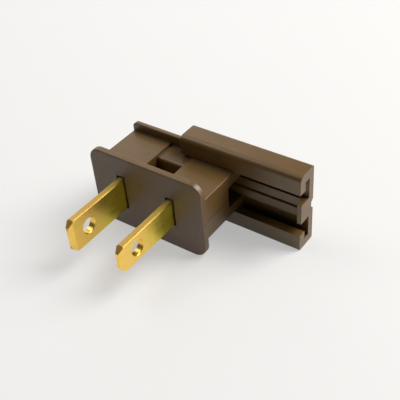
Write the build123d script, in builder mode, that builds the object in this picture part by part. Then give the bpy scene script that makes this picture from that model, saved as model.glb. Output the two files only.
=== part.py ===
from build123d import *
import os
from math import radians, tan

os.makedirs("parts", exist_ok=True)

# A polarised two-blade plug that slides onto flat cord: a moulded body carries two blades whose
# teeth stand in a cord channel at the back, and a cover slides along rails to press the cord on them.
# All sizes are millimetres. The origin is on the plate's front face, midway between the blades and
# at their mid-height. X runs along the plate, Y from the plate back to the cover, and Z is up.

# Blades
blade_spacing = 12.7
blade_thickness = 1.5
wide_blade_width = 7.9
narrow_blade_width = 6.35
blade_length = 16.8
blade_edge = 0.18
tip_clip_width = 1.2
tip_clip_length = 1.35
tip_thickness = 0.7
tip_bevel_length = 1.0
hole_diameter = 3.5
hole_distance = 11.65
hole_rim = 0.12
shank_start = 0.9
shank_step = 0.45
tooth_width = 2.4
tooth_height = 1.9
tooth_edge = 0.3
tooth_bevel_length = 1.6

# Flat cord that the plug is made for
cord_width = 5.1
cord_thickness = 2.7
conductor_pitch = 2.6

# Moulded body
plate_width = 28.9
plate_thickness = 1.4
plate_corner = 2.9
plate_edge = 0.35
plate_overhang = 0.35
body_depth = 15.4
block_draft = 1.0
block_edge = 0.2
parting_drop = 0.45
rail_step = 2.0
rail_thickness = 1.15
rail_corner = 1.0
rail_front_edge = 0.4
rail_back_edge = 0.25
slot_width = 2.15
slot_wall = 0.75
pocket_side_wall = 1.675
pocket_back_wall = 0.85
pocket_web = 1.2
bridge_drop = 0.5
bridge_edge = 0.8
channel_depth = 5.55
channel_room = 0.55
end_wall = 0.8
notch_flare = 0.3
notch_corner = 0.5
land_width = 4.4
land_edge = 0.4
shoulder_lift = 0.75

# Sliding cover, drawn where the photograph shows it, about half way off to the right
cover_slid = 15.2
cover_top_wall = 2.15
cover_bottom_wall = 1.85
cover_back_wall = 1.95
cover_top_edge = 1.3
cover_bottom_edge = 0.5
cover_back_edge = 0.8
cover_end_edge = 0.3
lip_thickness = 2.0
low_rib_height = 1.05
rib_end_length = 0.97
rib_groove_width = 0.7
rib_groove_depth = 0.6
finger_groove_width = 2.9
finger_groove_floor = 1.1
finger_groove_depth = 0.95

# Clearances, and how far a cut runs past the face that it opens
blade_fit = 0.05
rail_front_gap = 0.2
rail_back_gap = 0.25
rail_side_gap = 0.25
lip_gap = 0.15
rib_side_gap = 0.15
rib_end_gap = 0.3
cut_past = 1.0

# Heights follow from the wide blade: its slot, the block round it, the rails and the cover round them.
# The plate reaches down as far as the cover, so that the plug lies level on both.
block_half = wide_blade_width / 2 + shank_step + blade_fit + slot_wall
rail_half = block_half + rail_step
groove_half = rail_half + rail_side_gap
cover_top = groove_half + cover_top_wall
cover_bottom = -groove_half - cover_bottom_wall
plate_height = -2 * cover_bottom

# Widths follow from the plate and the blades
blade_middle = blade_spacing / 2
body_side = plate_width / 2 - plate_overhang
channel_side = body_side - end_wall
pocket_side = blade_middle - slot_width / 2 - pocket_side_wall
cover_length = plate_width
cover_left = cover_slid - cover_length / 2
rib_left = cover_length / 2 - channel_side + rib_end_gap

# Depths follow from the body's back face and the cord
rail_front = body_depth - rail_thickness
groove_front = rail_front - rail_front_gap
groove_back = body_depth + rail_back_gap
cover_front = groove_front - lip_thickness
cover_back = groove_back + cover_back_wall
channel_floor = body_depth - channel_depth
pocket_back = channel_floor - pocket_back_wall
low_rib_front = groove_back - low_rib_height
rib_front = channel_floor + cord_thickness
land_top = low_rib_front - cord_thickness
shoulder = channel_floor + shoulder_lift
tooth_tip = land_top + tooth_height


# The body. It starts as the flange at its back, whose top and bottom are the cover's rails: the
# section of the two rails run along X, then cut to a plate with round corners.
with BuildPart() as body:
    with BuildSketch(Plane.YZ) as flange_section:
        with Locations((body_depth - rail_thickness / 2, 0)):
            Rectangle(rail_thickness, 2 * rail_half)
        fillet(flange_section.vertices().group_by(Axis.X)[0], rail_front_edge)
        fillet(flange_section.vertices().group_by(Axis.X)[-1], rail_back_edge)
    extrude(amount=body_side, both=True)
    with BuildSketch(Plane.XZ.offset(-body_depth)):
        RectangleRounded(2 * body_side, 2 * rail_half, rail_corner)
    extrude(amount=rail_thickness, mode=Mode.INTERSECT)

    # Front plate, with round corners and a soft front edge
    with BuildSketch(Plane.XZ.offset(-plate_thickness)):
        RectangleRounded(plate_width, plate_height, plate_corner)
    extrude(amount=plate_thickness)
    plate_front = body.faces().sort_by(Axis.Y)[0]
    fillet(plate_front.edges(), plate_edge)

    # Block behind the plate. Its ends lean in above and below the parting line, which lies a little
    # under the middle.
    lean = tan(radians(block_draft))
    block_top_side = body_side - (block_half + parting_drop) * lean
    block_bottom_side = body_side - (block_half - parting_drop) * lean
    with BuildSketch(Plane.XZ.offset(-plate_thickness)) as block_section:
        with BuildLine():
            Polyline(
                (body_side, -parting_drop),
                (block_top_side, block_half),
                (-block_top_side, block_half),
                (-body_side, -parting_drop),
                (-block_bottom_side, -block_half),
                (block_bottom_side, -block_half),
                close=True,
            )
        make_face()
        fillet(block_section.vertices().group_by(Axis.Y)[0], block_edge)
        fillet(block_section.vertices().group_by(Axis.Y)[-1], block_edge)
    extrude(amount=plate_thickness - body_depth)

    # Pocket behind the middle of the plate, and the low bridge over the cord channel behind it.
    # The same recess is moulded from above and from below, with a web left between the two.
    bridge_top = block_half - bridge_drop
    with BuildSketch(Plane.YZ) as recess:
        with BuildLine():
            Polyline(
                (pocket_back, bridge_top - bridge_edge),
                (pocket_back, pocket_web / 2),
                (plate_thickness, pocket_web / 2),
                (plate_thickness, block_half + cut_past),
                (rail_front, block_half + cut_past),
                (rail_front, bridge_top),
                (pocket_back + bridge_edge, bridge_top),
            )
            RadiusArc(
                (pocket_back + bridge_edge, bridge_top),
                (pocket_back, bridge_top - bridge_edge),
                -bridge_edge,
            )
        make_face()
        mirror(about=Plane.XZ)
    extrude(amount=pocket_side, both=True, mode=Mode.SUBTRACT)

    # Cord channel, open at the back and closed by a wall at each end
    channel_height = cord_width + 2 * channel_room
    with BuildSketch(Plane.XZ.offset(-channel_floor)):
        Rectangle(2 * channel_side, channel_height)
    extrude(amount=-channel_depth - cut_past, mode=Mode.SUBTRACT)

    # Notch in the right end wall, where the cord comes in. It flares towards the back.
    with BuildSketch(Plane.YZ.offset(channel_side - cut_past)) as notch:
        with BuildLine():
            Polyline(
                (channel_floor, cord_width / 2),
                (body_depth, cord_width / 2 + notch_flare),
                (body_depth, -cord_width / 2 - notch_flare),
                (channel_floor, -cord_width / 2),
                close=True,
            )
        make_face()
        fillet(notch.vertices().group_by(Axis.X)[0], notch_corner)
    extrude(amount=end_wall + 2 * cut_past, mode=Mode.SUBTRACT)

    # Lands across the channel that hold the cord up against the teeth
    with BuildSketch(Plane.XZ.offset(-channel_floor)):
        with GridLocations(blade_spacing, 0, 2, 1):
            Rectangle(land_width, channel_height)
    extrude(amount=channel_floor - land_top)
    land_edges = body.edges().filter_by(Axis.Z)
    land_edges = land_edges.filter_by(lambda edge: abs(edge.center().Y - land_top) < 0.01)
    fillet(land_edges, land_edge)

    # Blade slots: a wide mouth in the plate, a close pocket for the shank and a slit for the tooth
    for side, width, tooth_side in ((-1, wide_blade_width, -1), (1, narrow_blade_width, 1)):
        middle = side * blade_middle
        slot_height = width + shank_step + 2 * blade_fit
        slot_centre = (middle, shank_step / 2)
        with BuildSketch(Plane.XZ):
            with Locations(slot_centre):
                Rectangle(slot_width, slot_height)
        extrude(amount=-plate_thickness, mode=Mode.SUBTRACT)
        with BuildSketch(Plane.XZ):
            with Locations(slot_centre):
                Rectangle(blade_thickness + 2 * blade_fit, slot_height)
        extrude(amount=-shoulder, mode=Mode.SUBTRACT)
        with BuildSketch(Plane.XZ):
            with Locations((middle, tooth_side * conductor_pitch / 2)):
                Rectangle(blade_thickness + 2 * blade_fit, tooth_width + 2 * blade_fit)
        extrude(amount=-land_top, mode=Mode.SUBTRACT)

body.part.label = "body"
export_step(body.part, "parts/body.step")


# The two blades, one wide and one narrow. Each is a stamped strip with clipped tip corners, a hole,
# a taller shank that seats in the body and one tooth for its own side of the cord.
for name, side, width, tooth_side in (
    ("wide_blade", -1, wide_blade_width, -1),
    ("narrow_blade", 1, narrow_blade_width, 1),
):
    middle = side * blade_middle
    half = width / 2
    tooth_middle = tooth_side * conductor_pitch / 2
    with BuildPart() as blade:
        with BuildSketch(Plane.YZ.offset(middle)):
            with BuildLine():
                Polyline(
                    (-blade_length, half - tip_clip_width),
                    (-blade_length + tip_clip_length, half),
                    (shank_start, half),
                    (shank_start, half + shank_step),
                    (shoulder, half + shank_step),
                    (shoulder, tooth_middle + tooth_width / 2),
                    (land_top, tooth_middle + tooth_width / 2),
                    (tooth_tip, tooth_middle),
                    (land_top, tooth_middle - tooth_width / 2),
                    (shoulder, tooth_middle - tooth_width / 2),
                    (shoulder, -half),
                    (-blade_length + tip_clip_length, -half),
                    (-blade_length, tip_clip_width - half),
                    close=True,
                )
            make_face()
        extrude(amount=blade_thickness / 2, both=True)

        # Coined long edges in front of the plate
        coined = blade.edges().filter_by(Axis.Y)
        coined = coined.filter_by(lambda edge: edge.center().Y < 0)
        chamfer(coined, blade_edge)

        # The strip thins to a blunt edge at the tip and to a sharp one at the tooth
        with BuildSketch(Plane.XY):
            with BuildLine():
                Polyline(
                    (middle - tip_thickness / 2, -blade_length),
                    (middle - blade_thickness / 2, tip_bevel_length - blade_length),
                    (middle - blade_thickness / 2, tooth_tip - tooth_bevel_length),
                    (middle - tooth_edge / 2, tooth_tip),
                    (middle + tooth_edge / 2, tooth_tip),
                    (middle + blade_thickness / 2, tooth_tip - tooth_bevel_length),
                    (middle + blade_thickness / 2, tip_bevel_length - blade_length),
                    (middle + tip_thickness / 2, -blade_length),
                    close=True,
                )
            make_face()
        extrude(amount=width, both=True, mode=Mode.INTERSECT)

        # Hole near the tip
        with BuildSketch(Plane.YZ.offset(middle)):
            with Locations((-hole_distance, 0)):
                Circle(hole_diameter / 2)
        extrude(amount=blade_thickness, both=True, mode=Mode.SUBTRACT)
        chamfer(blade.edges().filter_by(GeomType.CIRCLE), hole_rim)

    blade.part.label = name
    export_step(blade.part, f"parts/{name}.step")


# The cover: a channel whose lips hook round the rails, drawn as its section and run along X
with BuildPart() as cover:
    with BuildSketch(Plane.YZ.offset(cover_left)) as section:
        with Locations(((cover_front + cover_back) / 2, (cover_top + cover_bottom) / 2)):
            Rectangle(cover_back - cover_front, cover_top - cover_bottom)
        fillet(section.vertices().group_by(Axis.X)[-1], cover_back_edge)
        fillet(section.vertices().group_by(Axis.X)[0].sort_by(Axis.Y)[-1], cover_top_edge)
        fillet(section.vertices().group_by(Axis.X)[0].sort_by(Axis.Y)[0], cover_bottom_edge)

        # Opening between the lips, and the grooves that the rails run in
        with Locations(((cover_front + groove_back) / 2, 0)):
            Rectangle(groove_back - cover_front, 2 * (block_half + lip_gap), mode=Mode.SUBTRACT)
        with Locations(((groove_front + groove_back) / 2, 0)):
            Rectangle(groove_back - groove_front, 2 * groove_half, mode=Mode.SUBTRACT)

        # Shallow groove along the outside of the back
        with BuildLine():
            Polyline(
                (cover_back, finger_groove_width / 2),
                (cover_back - finger_groove_depth, finger_groove_floor / 2),
                (cover_back - finger_groove_depth, -finger_groove_floor / 2),
                (cover_back, -finger_groove_width / 2),
                close=True,
            )
        make_face(mode=Mode.SUBTRACT)
    extrude(amount=cover_length)

    # Rounded ends of the back
    with BuildSketch(Plane.XY.offset(cover_bottom)) as plan:
        with Locations((cover_slid, (cover_front + cover_back) / 2)):
            Rectangle(cover_length, cover_back - cover_front)
        fillet(plan.vertices().group_by(Axis.Y)[-1], cover_end_edge)
    extrude(amount=cover_top - cover_bottom, mode=Mode.INTERSECT)

    # Low rib that presses the cord on the teeth, grooved between the cord's two cores
    rib_height = cord_width - 2 * rib_side_gap
    with BuildSketch(Plane.YZ.offset(cover_left + rib_left)):
        with BuildLine():
            Polyline(
                (groove_back, rib_height / 2),
                (low_rib_front, rib_height / 2),
                (low_rib_front, rib_groove_width / 2),
                (low_rib_front + rib_groove_depth, 0),
                (low_rib_front, -rib_groove_width / 2),
                (low_rib_front, -rib_height / 2),
                (groove_back, -rib_height / 2),
                close=True,
            )
        make_face()
    extrude(amount=cover_length - rib_left)

    # Full-depth end of the rib, which pinches the cord in the body's notch
    with BuildSketch(Plane.YZ.offset(cover_left + cover_length)):
        with Locations(((rib_front + groove_back) / 2, 0)):
            Rectangle(groove_back - rib_front, rib_height)
    extrude(amount=-rib_end_length)

cover.part.label = "cover"
export_step(cover.part, "parts/cover.step")
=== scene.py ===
"""Finishes, studio and camera for a slide-on cord plug.

The plug's four pieces come in as they were drawn: a moulded body, a sliding cover and two brass
blades. This file gives them their surfaces and sets up the floor, the lamps and the camera. All
lengths are metres, in the plug's own frame: X along the plate, Y from the plate back to the cover
and Z up, with the origin on the plate's front face, midway between the blades.
"""
from math import cos, radians, sin

import bpy
from bpy.props import FloatProperty, FloatVectorProperty, PointerProperty
from mathutils import Matrix, Vector


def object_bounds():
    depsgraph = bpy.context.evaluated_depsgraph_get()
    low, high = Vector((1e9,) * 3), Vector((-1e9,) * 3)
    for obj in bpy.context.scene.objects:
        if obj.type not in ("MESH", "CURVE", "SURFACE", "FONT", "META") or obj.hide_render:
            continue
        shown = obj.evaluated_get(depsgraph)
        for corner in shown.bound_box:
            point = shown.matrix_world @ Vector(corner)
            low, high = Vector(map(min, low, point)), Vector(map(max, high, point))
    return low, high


bl_info = {
    "name": "Cord plug finishes",
    "version": (1, 0, 0),
    "blender": (4, 5, 0),
    "location": "3D View > Sidebar > Cord plug",
    "description": "Moulded plastic, rolled brass and a soft studio for a slide-on cord plug",
    "category": "Material",
}

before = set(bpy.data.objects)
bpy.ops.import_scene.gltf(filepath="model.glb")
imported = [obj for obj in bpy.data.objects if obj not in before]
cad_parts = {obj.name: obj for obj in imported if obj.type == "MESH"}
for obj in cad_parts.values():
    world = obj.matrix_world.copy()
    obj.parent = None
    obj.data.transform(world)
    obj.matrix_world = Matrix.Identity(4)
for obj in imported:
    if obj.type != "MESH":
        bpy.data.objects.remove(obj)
drawn_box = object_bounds()
MM = 0.001

# Rays that the nodes for edges and corners send out from each point
RAYS = 8

# A mark on a surface runs from 0 to 1 between the two ends of its band. The first bands are for
# noise, which lies mostly between 0.3 and 0.7, and a higher band leaves smaller spots.
NOISE_BAND = (0.3, 0.7)
FLOW_BAND = (0.36, 0.66)
SPECK_BAND = (0.62, 0.8)
RUB_BAND = (0.3, 0.68)
STAIN_BAND = (0.45, 0.75)
PIT_BAND = (0.66, 0.8)

# Bands for how open a point is: rims are rubbed and painted lighter as highlight on open faces, and
# painted shade darkens closed corners
RUB_AND_HIGHLIGHT_OPENNESS = (0.6, 0.95)
PAINTED_SHADE_OPENNESS = (0.7, 0.2)

# Bands for a direction: how far a rounded edge turns away from its face, how squarely an end face
# looks sideways, how far a clipped corner slants, and how far a stamped edge looks up, down or forward
EDGE_MATCH = (0.995, 0.8)
END_FACING = (0.9, 0.97)
CLIPPED_SLANT = (0.3, 0.45)
STAMPED_FACING = (0.5, 0.68)

# Bands for a place: the plate's front face, the blades outside the body, the blades' clipped
# corners, the start of the painted reflection of the plate near the roots, and the heights clear of the
# blades' holes
PLATE_FRONT = (0.05 * MM, 0.01 * MM)
OUTSIDE_BODY = (1.0 * MM, 0.2 * MM)
TIP_CORNERS = (-15.1 * MM, -15.3 * MM)
ROOT_REFLECTION_STRIP = (-10 * MM, -3 * MM)
CLEAR_OF_HOLE = (2.0 * MM, 2.3 * MM)

# Least and most that rims are rubbed and painted lighter as highlight, and that the clipped corners are
# darkened
RUB_AND_HIGHLIGHT_SHARES = (0.25, 0.85)
TEAR_SHARES = (0.5, 1.0)

# Each piece's patterns are moved by its own shift, so that no two pieces show the same ones
BODY_SHIFT = (0.0, 0.0, 0.0)
COVER_SHIFT = (31 * MM, 7 * MM, 13 * MM)
BLADE_SHIFTS = {"wide_blade": (0.0, 3 * MM, 3 * MM), "narrow_blade": (0.0, 17 * MM, 17 * MM)}

# Name, place, power in watts and colour of each lamp, and the point that they all face
LAMPS = (
    ("high_lamp", (0.29, 0.29, 0.45), 2.8, (1.0, 0.98, 0.95)),
    ("low_lamp", (0.41, 0.4, 0.205), 1.05, (1.0, 0.98, 0.95)),
    ("left_lamp", (-0.39, 0.0, 0.45), 0.95, (1.0, 0.98, 0.96)),
    ("back_lamp", (-0.39, 0.4, 0.205), 0.55, (1.0, 0.98, 0.96)),
)
LAMP_TARGET = Vector((0.008, 0.004, 0.0))

# Half the floor's side
FLOOR_REACH = 3.0


def colour_property(name, description, default):
    """A colour that shows as a swatch in the sidebar."""
    return FloatVectorProperty(
        name=name, description=description, default=default, subtype="COLOR", size=3, min=0.0, max=1.0
    )


def length_property(name, description, default):
    """A length that shows in the scene's units."""
    return FloatProperty(
        name=name,
        description=description,
        default=default,
        min=0.0,
        precision=6,
        subtype="DISTANCE",
        unit="LENGTH",
    )


def share_property(name, description, default):
    """A plain number from 0 to 1."""
    return FloatProperty(
        name=name, description=description, default=default, min=0.0, max=1.0, subtype="FACTOR"
    )


def angle_property(name, description, default):
    """An angle that shows in degrees, with its default in degrees too."""
    return FloatProperty(name=name, description=description, default=radians(default), subtype="ANGLE")


class PLUG_PG_plastic(bpy.types.PropertyGroup):
    """The brown plastic of the body and the cover."""

    colour: colour_property("Colour", "Colour of a clean flat face", (0.172, 0.093, 0.02))
    deep_colour: colour_property(
        "Deep colour", "Colour where the pigment flowed thicker", (0.14, 0.071, 0.015)
    )
    # Partly wear, partly painted highlight: rims are painted paler where light catches them, and the pale
    # specks use this colour too
    wear_and_highlight_colour: colour_property(
        "Wear and highlight colour", "Paler colour of specks, and of rubbed edges with a painted highlight", (0.29, 0.205, 0.115)
    )
    # Painted shade: this colour darkens corners and recesses where shade falls, and the parting line's
    # dark line uses it too
    shade_and_seam_colour: colour_property(
        "Shade and seam colour", "Darker colour painted as shade in corners, and drawn along the seam", (0.02, 0.009, 0.003)
    )
    # Painted sheen: the plate face is tinted grey like the sheen of light that it reflects
    painted_sheen_colour: colour_property(
        "Painted sheen colour", "Greyer colour painted on the plate face as sheen", (0.18, 0.13, 0.125)
    )
    flow_share: share_property("Flow share", "How far the pigment's flow turns the colour deeper", 0.6)
    speck_share: share_property("Speck share", "How far the fine specks turn the colour paler", 0.35)
    painted_shade_share: share_property("Painted shade share", "How far a corner turns the colour darker", 0.9)
    painted_sheen_share: share_property("Painted sheen share", "How far the plate face turns greyer", 0.5)
    roughness: share_property("Roughness", "Roughness of the moulded skin", 0.38)
    smoother: share_property("Smoother", "How far below that its smoothest spots are", 0.05)
    rougher: share_property("Rougher", "How far above it its roughest spots are", 0.09)
    rim_roughness: share_property("Rim roughness", "Roughness that an edge adds", 0.25)
    plate_face_roughness: share_property("Plate face roughness", "Roughness that the plate face adds", 0.11)
    edge_radius: length_property("Edge radius", "Radius that the moulded edges seem to have", 0.16 * MM)
    # Reach of the painted shade in corners, and of the open-face test for the rubbed rims
    shade_and_rub_reach: length_property("Shade and rub reach", "How far from a corner its painted shade, and the rub on open rims, still reach", 4 * MM)
    flow_length: length_property("Flow length", "Length of the pigment's flow along the plate", 9 * MM)
    flow_width: length_property("Flow width", "Width of that flow", 4 * MM)
    speck_size: length_property("Speck size", "Size of the fine specks", 0.22 * MM)
    rub_size: length_property("Rub size", "Size of the rubbed and duller spots", 0.9 * MM)
    grain_size: length_property("Grain size", "Size of the fine grain of the mould", 0.12 * MM)
    grain_height: length_property("Grain height", "Height of that grain", 0.0022 * MM)
    ripple_size: length_property("Ripple size", "Size of the ripples that shrinking leaves", 3.4 * MM)
    ripple_height: length_property("Ripple height", "Height of those ripples", 0.016 * MM)
    seam_drop: length_property("Seam drop", "How far the parting line lies below the middle", 0.45 * MM)
    seam_width: length_property("Seam width", "Width of the ridge along the parting line", 0.3 * MM)
    seam_height: length_property("Seam height", "Height of that ridge", 0.06 * MM)


class PLUG_PG_brass(bpy.types.PropertyGroup):
    """The rolled brass strip that the blades are stamped from."""

    colour: colour_property("Colour", "Colour of the bright strip", (1.0, 0.67, 0.15))
    # Painted reflection: the blades near the plate are tinted greener, as the plate's reflection
    root_reflection_colour: colour_property(
        "Root reflection colour", "Greener colour painted near the plate as the plate's reflection", (1.0, 0.88, 0.09)
    )
    # Partly the stamped edges' own duller colour, partly painted shade that tones down the highlight on
    # the blades' edges
    cut_and_shade_colour: colour_property("Cut and shade colour", "Duller colour of the stamped edges, partly painted shade over their highlight", (0.7, 0.48, 0.15))
    stain_colour: colour_property(
        "Stain colour", "Colour of the slightly dulled patches", (0.9, 0.6, 0.1)
    )
    shear_colour: colour_property(
        "Shear colour", "Colour of the rough cut corners at the tip", (0.33, 0.22, 0.1)
    )
    stain_share: share_property("Stain share", "How far the dulled patches turn the colour", 0.55)
    pit_share: share_property("Pit share", "How far the small pits turn the colour", 0.5)
    cut_share: share_property("Cut share", "How far the stamped edges turn the colour", 0.75)
    roughness: share_property("Roughness", "Roughness of the rolled faces", 0.3)
    smoother: share_property("Smoother", "How far below that its smoothest marks are", 0.05)
    rougher: share_property("Rougher", "How far above it its roughest marks are", 0.08)
    stain_roughness: share_property("Stain roughness", "Roughness that a dulled patch adds", 0.1)
    shear_roughness: share_property("Shear roughness", "Roughness that the cut corners add", 0.3)
    rim_roughness: share_property("Rim roughness", "Roughness that a sharp edge adds", 0.3)
    cut_roughness: share_property("Cut roughness", "Roughness that the stamped edges add", 0.32)
    edge_radius: length_property("Edge radius", "Radius that the stamped edges seem to have", 0.025 * MM)
    streak_width: length_property("Streak width", "Width of the rolling marks", 0.09 * MM)
    streak_length: length_property("Streak length", "Length of those marks along the strip", 5 * MM)
    streak_height: length_property("Streak height", "Height of those marks", 0.0004 * MM)
    patch_width: length_property("Patch width", "Width of the dulled patches", 2.6 * MM)
    patch_length: length_property("Patch length", "Length of those patches along the strip", 4.2 * MM)
    pit_size: length_property("Pit size", "Size of the small pits", 0.16 * MM)
    wave_size: length_property("Wave size", "Size of the slow waves in the strip", 2.4 * MM)
    wave_height: length_property("Wave height", "Height of those waves", 0.005 * MM)
    tear_length: length_property("Tear length", "Length of the tears in the cut corners", 0.5 * MM)
    tear_width: length_property("Tear width", "Width of those tears", 0.07 * MM)
    tear_height: length_property("Tear height", "Height of those tears", 0.03 * MM)
    reflection_waver: length_property("Reflection waver", "How far the start of the painted reflection wavers", 1.2 * MM)


class PLUG_PG_studio(bpy.types.PropertyGroup):
    """Floor, lamps and camera."""

    floor_colour: colour_property(
        "Floor colour", "Colour of the pale floor where it is lit", (0.55, 0.55, 0.54)
    )
    floor_glow: share_property("Floor glow", "Brightness that the floor shows by itself", 0.42)
    sky_colour: colour_property("Sky colour", "Colour of the even light from all round", (0.96, 0.97, 1.0))
    sky_strength: share_property("Sky strength", "Strength of that light", 0.05)
    lamp_size: length_property("Lamp size", "Width of each square lamp", 360 * MM)
    lens: FloatProperty(
        name="Lens", description="Focal length of the camera in millimetres", default=66.23, min=1.0
    )
    target: FloatVectorProperty(
        name="Target",
        description="Point that the camera looks at",
        default=(10.66 * MM, 4.54 * MM, 1.89 * MM),
        size=3,
        precision=6,
        subtype="TRANSLATION",
        unit="LENGTH",
    )
    distance: length_property("Distance", "Distance from the camera to that point", 150 * MM)
    azimuth: angle_property("Azimuth", "Turn of the camera round the plug", 38.42)
    elevation: angle_property("Elevation", "Height of the camera above the floor", 39.38)
    roll: angle_property("Roll", "Turn of the camera about its own axis", -5.19)


class Finish:
    """A material and a short way to write its nodes."""

    def __init__(self, name, slot_colour, shift=(0.0, 0.0, 0.0)):
        self.material = bpy.data.materials.new(name)
        self.material.diffuse_color = (*slot_colour, 1.0)
        self.material.use_nodes = True
        self.nodes = self.material.node_tree.nodes
        self.links = self.material.node_tree.links
        self.surface = next(node for node in self.nodes if node.type == "BSDF_PRINCIPLED")
        self.place = self.add("ShaderNodeTexCoord").outputs["Object"]
        self.shift = shift

    def join(self, value, socket):
        """Links an input to another node's output, or gives it a plain value."""
        if isinstance(value, bpy.types.NodeSocket):
            self.links.new(value, socket)
        else:
            socket.default_value = value

    def add(self, kind, *inputs, **settings):
        """A node with its settings, and its inputs as (name or number, output or value) pairs."""
        node = self.nodes.new(kind)
        for key, value in settings.items():
            setattr(node, key, value)
        for key, value in inputs:
            self.join(value, node.inputs[key])
        return node

    def axes(self, vector):
        """The X, Y and Z of a vector."""
        return self.add("ShaderNodeSeparateXYZ", ("Vector", vector)).outputs

    def face_normal(self):
        """The way the face looks, without any rounding or bump."""
        return self.add("ShaderNodeNewGeometry").outputs["True Normal"]

    def calculate(self, operation, *numbers):
        """The result of one operation on numbers, such as ADD, MULTIPLY or ABSOLUTE."""
        return self.add("ShaderNodeMath", *enumerate(numbers), operation=operation).outputs[0]

    def noise(self, sizes, detail=2.0, roughness=0.5):
        """Smooth noise from 0 to 1, with features as large as sizes along X, Y and Z."""
        scale = [1 / size for size in sizes]
        location = [-moved / size for moved, size in zip(self.shift, sizes)]
        mapping = self.add(
            "ShaderNodeMapping", ("Vector", self.place), ("Location", location), ("Scale", scale)
        )
        node = self.add(
            "ShaderNodeTexNoise",
            ("Vector", mapping.outputs["Vector"]),
            ("Scale", 1.0),
            ("Detail", detail),
            ("Roughness", roughness),
        )
        return node.outputs["Fac"]

    def ramp(self, value, low, high, to_low=0.0, to_high=1.0):
        """value mapped in a straight line from low..high to to_low..to_high, and held at its ends."""
        node = self.add(
            "ShaderNodeMapRange",
            ("Value", value),
            ("From Min", low),
            ("From Max", high),
            ("To Min", to_low),
            ("To Max", to_high),
        )
        return node.outputs["Result"]

    def raised(self, number, *marks):
        """A number with a share of each mark added, given as (mark, share) pairs."""
        for mark, share in marks:
            number = self.calculate("ADD", number, self.calculate("MULTIPLY", mark, share))
        return number

    def tint(self, first, second, mark, share=1.0):
        """The first colour, turned into the second by share where the mark is 1."""
        node = self.nodes.new("ShaderNodeMix")
        node.data_type = "RGBA"
        self.join(self.calculate("MULTIPLY", mark, share), node.inputs[0])
        sockets = [socket for socket in node.inputs if socket.type == "RGBA"]
        for socket, colour in zip(sockets, (first, second)):
            self.join(colour if isinstance(colour, bpy.types.NodeSocket) else (*colour, 1.0), socket)
        return next(socket for socket in node.outputs if socket.type == "RGBA")

    def edges(self, radius):
        """The normal with its edges rounded, and a mark that is 0 on a flat face and 1 at an edge."""
        rounded = self.add("ShaderNodeBevel", ("Radius", radius), samples=RAYS).outputs["Normal"]
        match = self.add(
            "ShaderNodeVectorMath", (0, rounded), (1, self.face_normal()), operation="DOT_PRODUCT"
        )
        return rounded, self.ramp(match.outputs["Value"], *EDGE_MATCH)

    def openness(self, distance):
        """1 on an open face, and less where the piece itself stands in the way within distance."""
        node = self.add(
            "ShaderNodeAmbientOcclusion", ("Distance", distance), samples=RAYS, only_local=True
        )
        return node.outputs["AO"]

    def plate_face(self):
        """A mark on the face at the very front."""
        return self.ramp(self.axes(self.place)["Y"], *PLATE_FRONT)

    def seam(self, drop, width):
        """A mark along a level line that lies drop below the middle, on the faces that look sideways."""
        away = self.calculate("ABSOLUTE", self.calculate("ADD", self.axes(self.place)["Z"], drop))
        sideways = self.calculate("ABSOLUTE", self.axes(self.face_normal())["X"])
        line = self.ramp(away, width / 2, width / 6)
        return self.calculate("MULTIPLY", line, self.ramp(sideways, *END_FACING))

    def bump(self, height, depth, normal):
        """The normal, roughened by a height from 0 to 1 that stands for depth in metres."""
        node = self.add(
            "ShaderNodeBump",
            ("Height", height),
            ("Distance", depth),
            ("Strength", 1.0),
            ("Normal", normal),
        )
        return node.outputs["Normal"]

    def wire(self, **sockets):
        """Joins outputs or values to the surface's own inputs, named with underscores for spaces."""
        for key, value in sockets.items():
            self.join(value, self.surface.inputs[key.replace("_", " ")])
        return self.material


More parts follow.
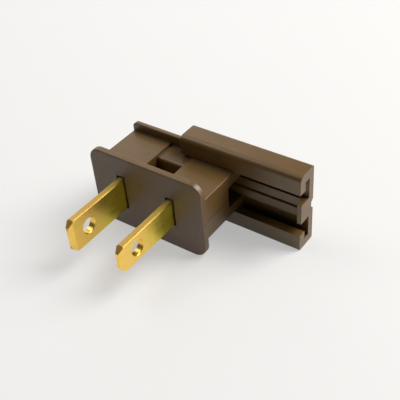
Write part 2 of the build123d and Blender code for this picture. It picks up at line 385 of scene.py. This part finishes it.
def moulded_plastic(name, look, shift, is_body=False):
    """Satin brown plastic: flow of pigment, specks, fine grain, slow ripples, rubbed rims with a painted
    highlight, and painted shade in corners.

    The body also has a rougher plate face with a painted grey sheen, and its mould's parting line across
    both ends.
    """
    plastic = Finish(name, look.colour, shift)
    flow = plastic.noise((look.flow_length, look.flow_width, look.flow_width), detail=3.0)
    speck = plastic.noise((look.speck_size,) * 3, detail=3.0, roughness=0.7)
    grain = plastic.noise((look.grain_size,) * 3, detail=3.0, roughness=0.6)
    ripple = plastic.noise((look.ripple_size,) * 3, detail=1.0)
    rub = plastic.noise((look.rub_size,) * 3, detail=4.0, roughness=0.7)

    rounded, rim = plastic.edges(look.edge_radius)
    open_face = plastic.openness(look.shade_and_rub_reach)
    # Rubbed rims on open faces, painted paler both as wear and as highlight
    rub_and_highlight = plastic.calculate("MULTIPLY", rim, plastic.ramp(open_face, *RUB_AND_HIGHLIGHT_OPENNESS))
    rub_and_highlight = plastic.calculate("MULTIPLY", rub_and_highlight, plastic.ramp(rub, *RUB_BAND, *RUB_AND_HIGHLIGHT_SHARES))

    tone = plastic.tint(look.colour, look.deep_colour, plastic.ramp(flow, *FLOW_BAND), look.flow_share)
    tone = plastic.tint(tone, look.wear_and_highlight_colour, plastic.ramp(speck, *SPECK_BAND), look.speck_share)
    # Painted shade: corners that the piece closes in are darkened
    painted_shade = plastic.ramp(open_face, *PAINTED_SHADE_OPENNESS)
    tone = plastic.tint(tone, look.shade_and_seam_colour, painted_shade, look.painted_shade_share)
    # Painted highlight, partly wear: the rims turn paler
    tone = plastic.tint(tone, look.wear_and_highlight_colour, rub_and_highlight)

    rough = plastic.ramp(rub, *NOISE_BAND, look.roughness - look.smoother, look.roughness + look.rougher)
    rough = plastic.raised(rough, (rim, look.rim_roughness))

    shape = plastic.bump(ripple, look.ripple_height, rounded)
    shape = plastic.bump(grain, look.grain_height, shape)
    if is_body:
        plate = plastic.plate_face()
        # Painted sheen: the plate face turns greyer
        tone = plastic.tint(tone, look.painted_sheen_colour, plate, look.painted_sheen_share)
        rough = plastic.raised(rough, (plate, look.plate_face_roughness))
        seam = plastic.seam(look.seam_drop, look.seam_width)
        tone = plastic.tint(tone, look.shade_and_seam_colour, seam)
        shape = plastic.bump(seam, look.seam_height, shape)
    return plastic.wire(Base_Color=tone, Roughness=rough, Normal=shape, IOR=1.6, Specular_IOR_Level=0.62)


def rolled_brass(name, look, shift):
    """Bright brass: rolling marks, dulled patches, pits, a painted reflection of the plate near the root,
    duller stamped edges with painted shade over their highlight, and torn tip corners.
    """
    brass = Finish(name, look.colour, shift)
    streak_sizes = (look.streak_width, look.streak_length, look.streak_width)
    streak = brass.noise(streak_sizes, detail=3.0, roughness=0.6)
    patch = brass.noise((look.patch_width, look.patch_length, look.patch_width), detail=4.0, roughness=0.6)
    pit = brass.noise((look.pit_size,) * 3, detail=2.0, roughness=0.6)
    wave = brass.noise((look.wave_size,) * 3, detail=1.0)
    tear = brass.noise((look.tear_length, look.tear_width, look.tear_width), detail=3.0, roughness=0.7)

    rounded, rim = brass.edges(look.edge_radius)
    place = brass.axes(brass.place)
    normal = brass.axes(brass.face_normal())
    forward = brass.calculate("ABSOLUTE", normal["Y"])
    upright = brass.calculate("ABSOLUTE", normal["Z"])

    slanting = brass.ramp(forward, *CLIPPED_SLANT), brass.ramp(upright, *CLIPPED_SLANT)
    sheared = brass.calculate("MULTIPLY", *slanting)
    sheared = brass.calculate("MULTIPLY", sheared, brass.ramp(place["Y"], *TIP_CORNERS))
    torn = brass.calculate("MULTIPLY", sheared, brass.ramp(tear, *NOISE_BAND, *TEAR_SHARES))

    above_hole = brass.ramp(brass.calculate("ABSOLUTE", place["Z"]), *CLEAR_OF_HOLE)
    facing = brass.ramp(brass.calculate("MAXIMUM", forward, upright), *STAMPED_FACING)
    cut_edge = brass.calculate("MULTIPLY", facing, above_hole)
    # Painted shade, partly real: stamped edges and sharp rims turn duller, which also tones down their
    # highlight
    cut_and_shade_tint = brass.calculate("MAXIMUM", brass.calculate("MULTIPLY", cut_edge, look.cut_share), rim)

    stained = brass.ramp(patch, *STAIN_BAND)
    # Painted reflection of the plate on the blades near their roots, with a wavering start
    waver = brass.ramp(patch, *NOISE_BAND, -look.reflection_waver, look.reflection_waver)
    root_reflection = brass.ramp(brass.calculate("ADD", place["Y"], waver), *ROOT_REFLECTION_STRIP)
    root_reflection = brass.calculate("MULTIPLY", root_reflection, brass.ramp(place["Y"], *OUTSIDE_BODY))

    tone = brass.tint(look.colour, look.stain_colour, stained, look.stain_share)
    tone = brass.tint(tone, look.root_reflection_colour, root_reflection)
    tone = brass.tint(tone, look.stain_colour, brass.ramp(pit, *PIT_BAND), look.pit_share)
    tone = brass.tint(tone, look.shear_colour, torn)
    tone = brass.tint(tone, look.cut_and_shade_colour, cut_and_shade_tint)

    rough = brass.ramp(streak, *NOISE_BAND, look.roughness - look.smoother, look.roughness + look.rougher)
    rough = brass.raised(
        rough,
        (stained, look.stain_roughness),
        (sheared, look.shear_roughness),
        (rim, look.rim_roughness),
        (cut_edge, look.cut_roughness),
    )

    shape = brass.bump(wave, look.wave_height, rounded)
    shape = brass.bump(streak, look.streak_height, shape)
    shape = brass.bump(brass.calculate("MULTIPLY", tear, sheared), look.tear_height, shape)
    return brass.wire(Base_Color=tone, Roughness=rough, Metallic=1.0, Normal=shape)


def dress(node, material):
    """Puts one material on a piece of the plug."""
    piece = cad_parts.get(node)
    if piece is None:
        raise RuntimeError(f"the plug has no piece named {node}")
    if not piece.material_slots:
        piece.data.materials.append(None)
    for slot in piece.material_slots:
        slot.link = "OBJECT"
        slot.material = material


class PLUG_OT_finish_body(bpy.types.Operator):
    """Give the moulded body its brown plastic"""

    bl_idname = "plug.finish_body"
    bl_label = "Finish body"

    def execute(self, context):
        look = context.scene.plug_plastic
        dress("body", moulded_plastic("body_plastic", look, BODY_SHIFT, is_body=True))
        return {"FINISHED"}


class PLUG_OT_finish_cover(bpy.types.Operator):
    """Give the sliding cover the same plastic from another shot of the mould"""

    bl_idname = "plug.finish_cover"
    bl_label = "Finish cover"

    def execute(self, context):
        dress("cover", moulded_plastic("cover_plastic", context.scene.plug_plastic, COVER_SHIFT))
        return {"FINISHED"}


class PLUG_OT_finish_blades(bpy.types.Operator):
    """Give both blades their rolled brass"""

    bl_idname = "plug.finish_blades"
    bl_label = "Finish blades"

    def execute(self, context):
        for node, shift in BLADE_SHIFTS.items():
            dress(node, rolled_brass(f"{node}_brass", context.scene.plug_brass, shift))
        return {"FINISHED"}


def lamp(name, place, size, power, colour):
    """A square soft lamp at place that faces the plug."""
    light = bpy.data.lights.new(name, "AREA")
    light.shape = "SQUARE"
    light.size = size
    light.energy = power
    light.color = colour
    holder = bpy.data.objects.new(name, light)
    holder.location = place
    holder.rotation_euler = (LAMP_TARGET - Vector(place)).to_track_quat("-Z", "Y").to_euler()
    bpy.context.scene.collection.objects.link(holder)


def floor_material(colour, glow):
    """A pale matt floor, whitened for the camera and in reflections but not as light on the plug."""
    finish = Finish("pale_floor", colour)
    path = finish.add("ShaderNodeLightPath")
    seen = finish.calculate("MAXIMUM", path.outputs["Is Camera Ray"], path.outputs["Is Glossy Ray"])
    seen = finish.calculate("MAXIMUM", seen, path.outputs["Is Transmission Ray"])
    return finish.wire(
        Base_Color=(*colour, 1.0),
        Roughness=0.7,
        IOR=1.3,
        Emission_Color=(1.0, 1.0, 1.0, 1.0),
        Emission_Strength=finish.calculate("MULTIPLY", seen, glow),
    )


def lay_floor(scene, studio):
    """A flat square that the plug stands on."""
    low, high, height = -FLOOR_REACH, FLOOR_REACH, drawn_box[0].z
    corners = [(low, low, height), (high, low, height), (high, high, height), (low, high, height)]
    mesh = bpy.data.meshes.new("floor")
    mesh.from_pydata(corners, [], [(0, 1, 2, 3)])
    mesh.materials.append(floor_material(studio.floor_colour, studio.floor_glow))
    floor = bpy.data.objects.new("floor", mesh)
    scene.collection.objects.link(floor)


def light_sky(scene, studio):
    """An even weak light from all round."""
    world = bpy.data.worlds.new("soft_sky")
    world.use_nodes = True
    background = next(node for node in world.node_tree.nodes if node.type == "BACKGROUND")
    background.inputs["Color"].default_value = (*studio.sky_colour, 1.0)
    background.inputs["Strength"].default_value = studio.sky_strength
    scene.world = world
    scene.view_settings.view_transform = "Standard"


def place_camera(scene, studio):
    """A camera whose right and up lines are worked out level, then rolled about its line of sight."""
    turn, rise, roll = studio.azimuth, studio.elevation, studio.roll
    back = Vector((sin(turn) * cos(rise), -cos(turn) * cos(rise), sin(rise)))
    level_right = Vector((0.0, 0.0, 1.0)).cross(back).normalized()
    level_up = back.cross(level_right)
    right = cos(roll) * level_right + sin(roll) * level_up
    up = cos(roll) * level_up - sin(roll) * level_right
    camera = bpy.data.cameras.new("camera")
    camera.lens = studio.lens
    camera.sensor_width = 36.0
    camera.clip_start = 0.005
    camera.clip_end = 20.0
    holder = bpy.data.objects.new("camera", camera)
    turned = Matrix((right, up, back)).transposed().to_4x4()
    holder.matrix_world = Matrix.Translation(Vector(studio.target) + studio.distance * back) @ turned
    scene.collection.objects.link(holder)
    scene.camera = holder


class PLUG_OT_set_studio(bpy.types.Operator):
    """Lay the pale floor, hang the lamps and place the camera"""

    bl_idname = "plug.set_studio"
    bl_label = "Set studio"

    def execute(self, context):
        scene = context.scene
        studio = scene.plug_studio
        lay_floor(scene, studio)
        for name, place, power, colour in LAMPS:
            lamp(name, place, studio.lamp_size, power, colour)
        light_sky(scene, studio)
        place_camera(scene, studio)
        return {"FINISHED"}


class PLUG_PT_looks(bpy.types.Panel):
    """Sidebar panel with the finishes and the studio"""

    bl_label = "Cord plug"
    bl_idname = "PLUG_PT_looks"
    bl_space_type = "VIEW_3D"
    bl_region_type = "UI"
    bl_category = "Cord plug"

    def draw(self, context):
        groups = (
            (context.scene.plug_plastic, (PLUG_OT_finish_body, PLUG_OT_finish_cover)),
            (context.scene.plug_brass, (PLUG_OT_finish_blades,)),
            (context.scene.plug_studio, (PLUG_OT_set_studio,)),
        )
        for settings, operators in groups:
            box = self.layout.box()
            for key in settings.__annotations__:
                box.prop(settings, key)
            for operator in operators:
                box.operator(operator.bl_idname)


CLASSES = (
    PLUG_PG_plastic,
    PLUG_PG_brass,
    PLUG_PG_studio,
    PLUG_OT_finish_body,
    PLUG_OT_finish_cover,
    PLUG_OT_finish_blades,
    PLUG_OT_set_studio,
    PLUG_PT_looks,
)


def register():
    """Adds the classes, and their settings to the scene."""
    for kind in CLASSES:
        bpy.utils.register_class(kind)
    bpy.types.Scene.plug_plastic = PointerProperty(type=PLUG_PG_plastic)
    bpy.types.Scene.plug_brass = PointerProperty(type=PLUG_PG_brass)
    bpy.types.Scene.plug_studio = PointerProperty(type=PLUG_PG_studio)


def unregister():
    """Takes the settings and the classes away again."""
    del bpy.types.Scene.plug_studio
    del bpy.types.Scene.plug_brass
    del bpy.types.Scene.plug_plastic
    for kind in reversed(CLASSES):
        bpy.utils.unregister_class(kind)


def main():
    register()
    bpy.ops.plug.finish_body()
    bpy.ops.plug.finish_cover()
    bpy.ops.plug.finish_blades()
    bpy.ops.plug.set_studio()


if __name__ == "__main__":
    main()
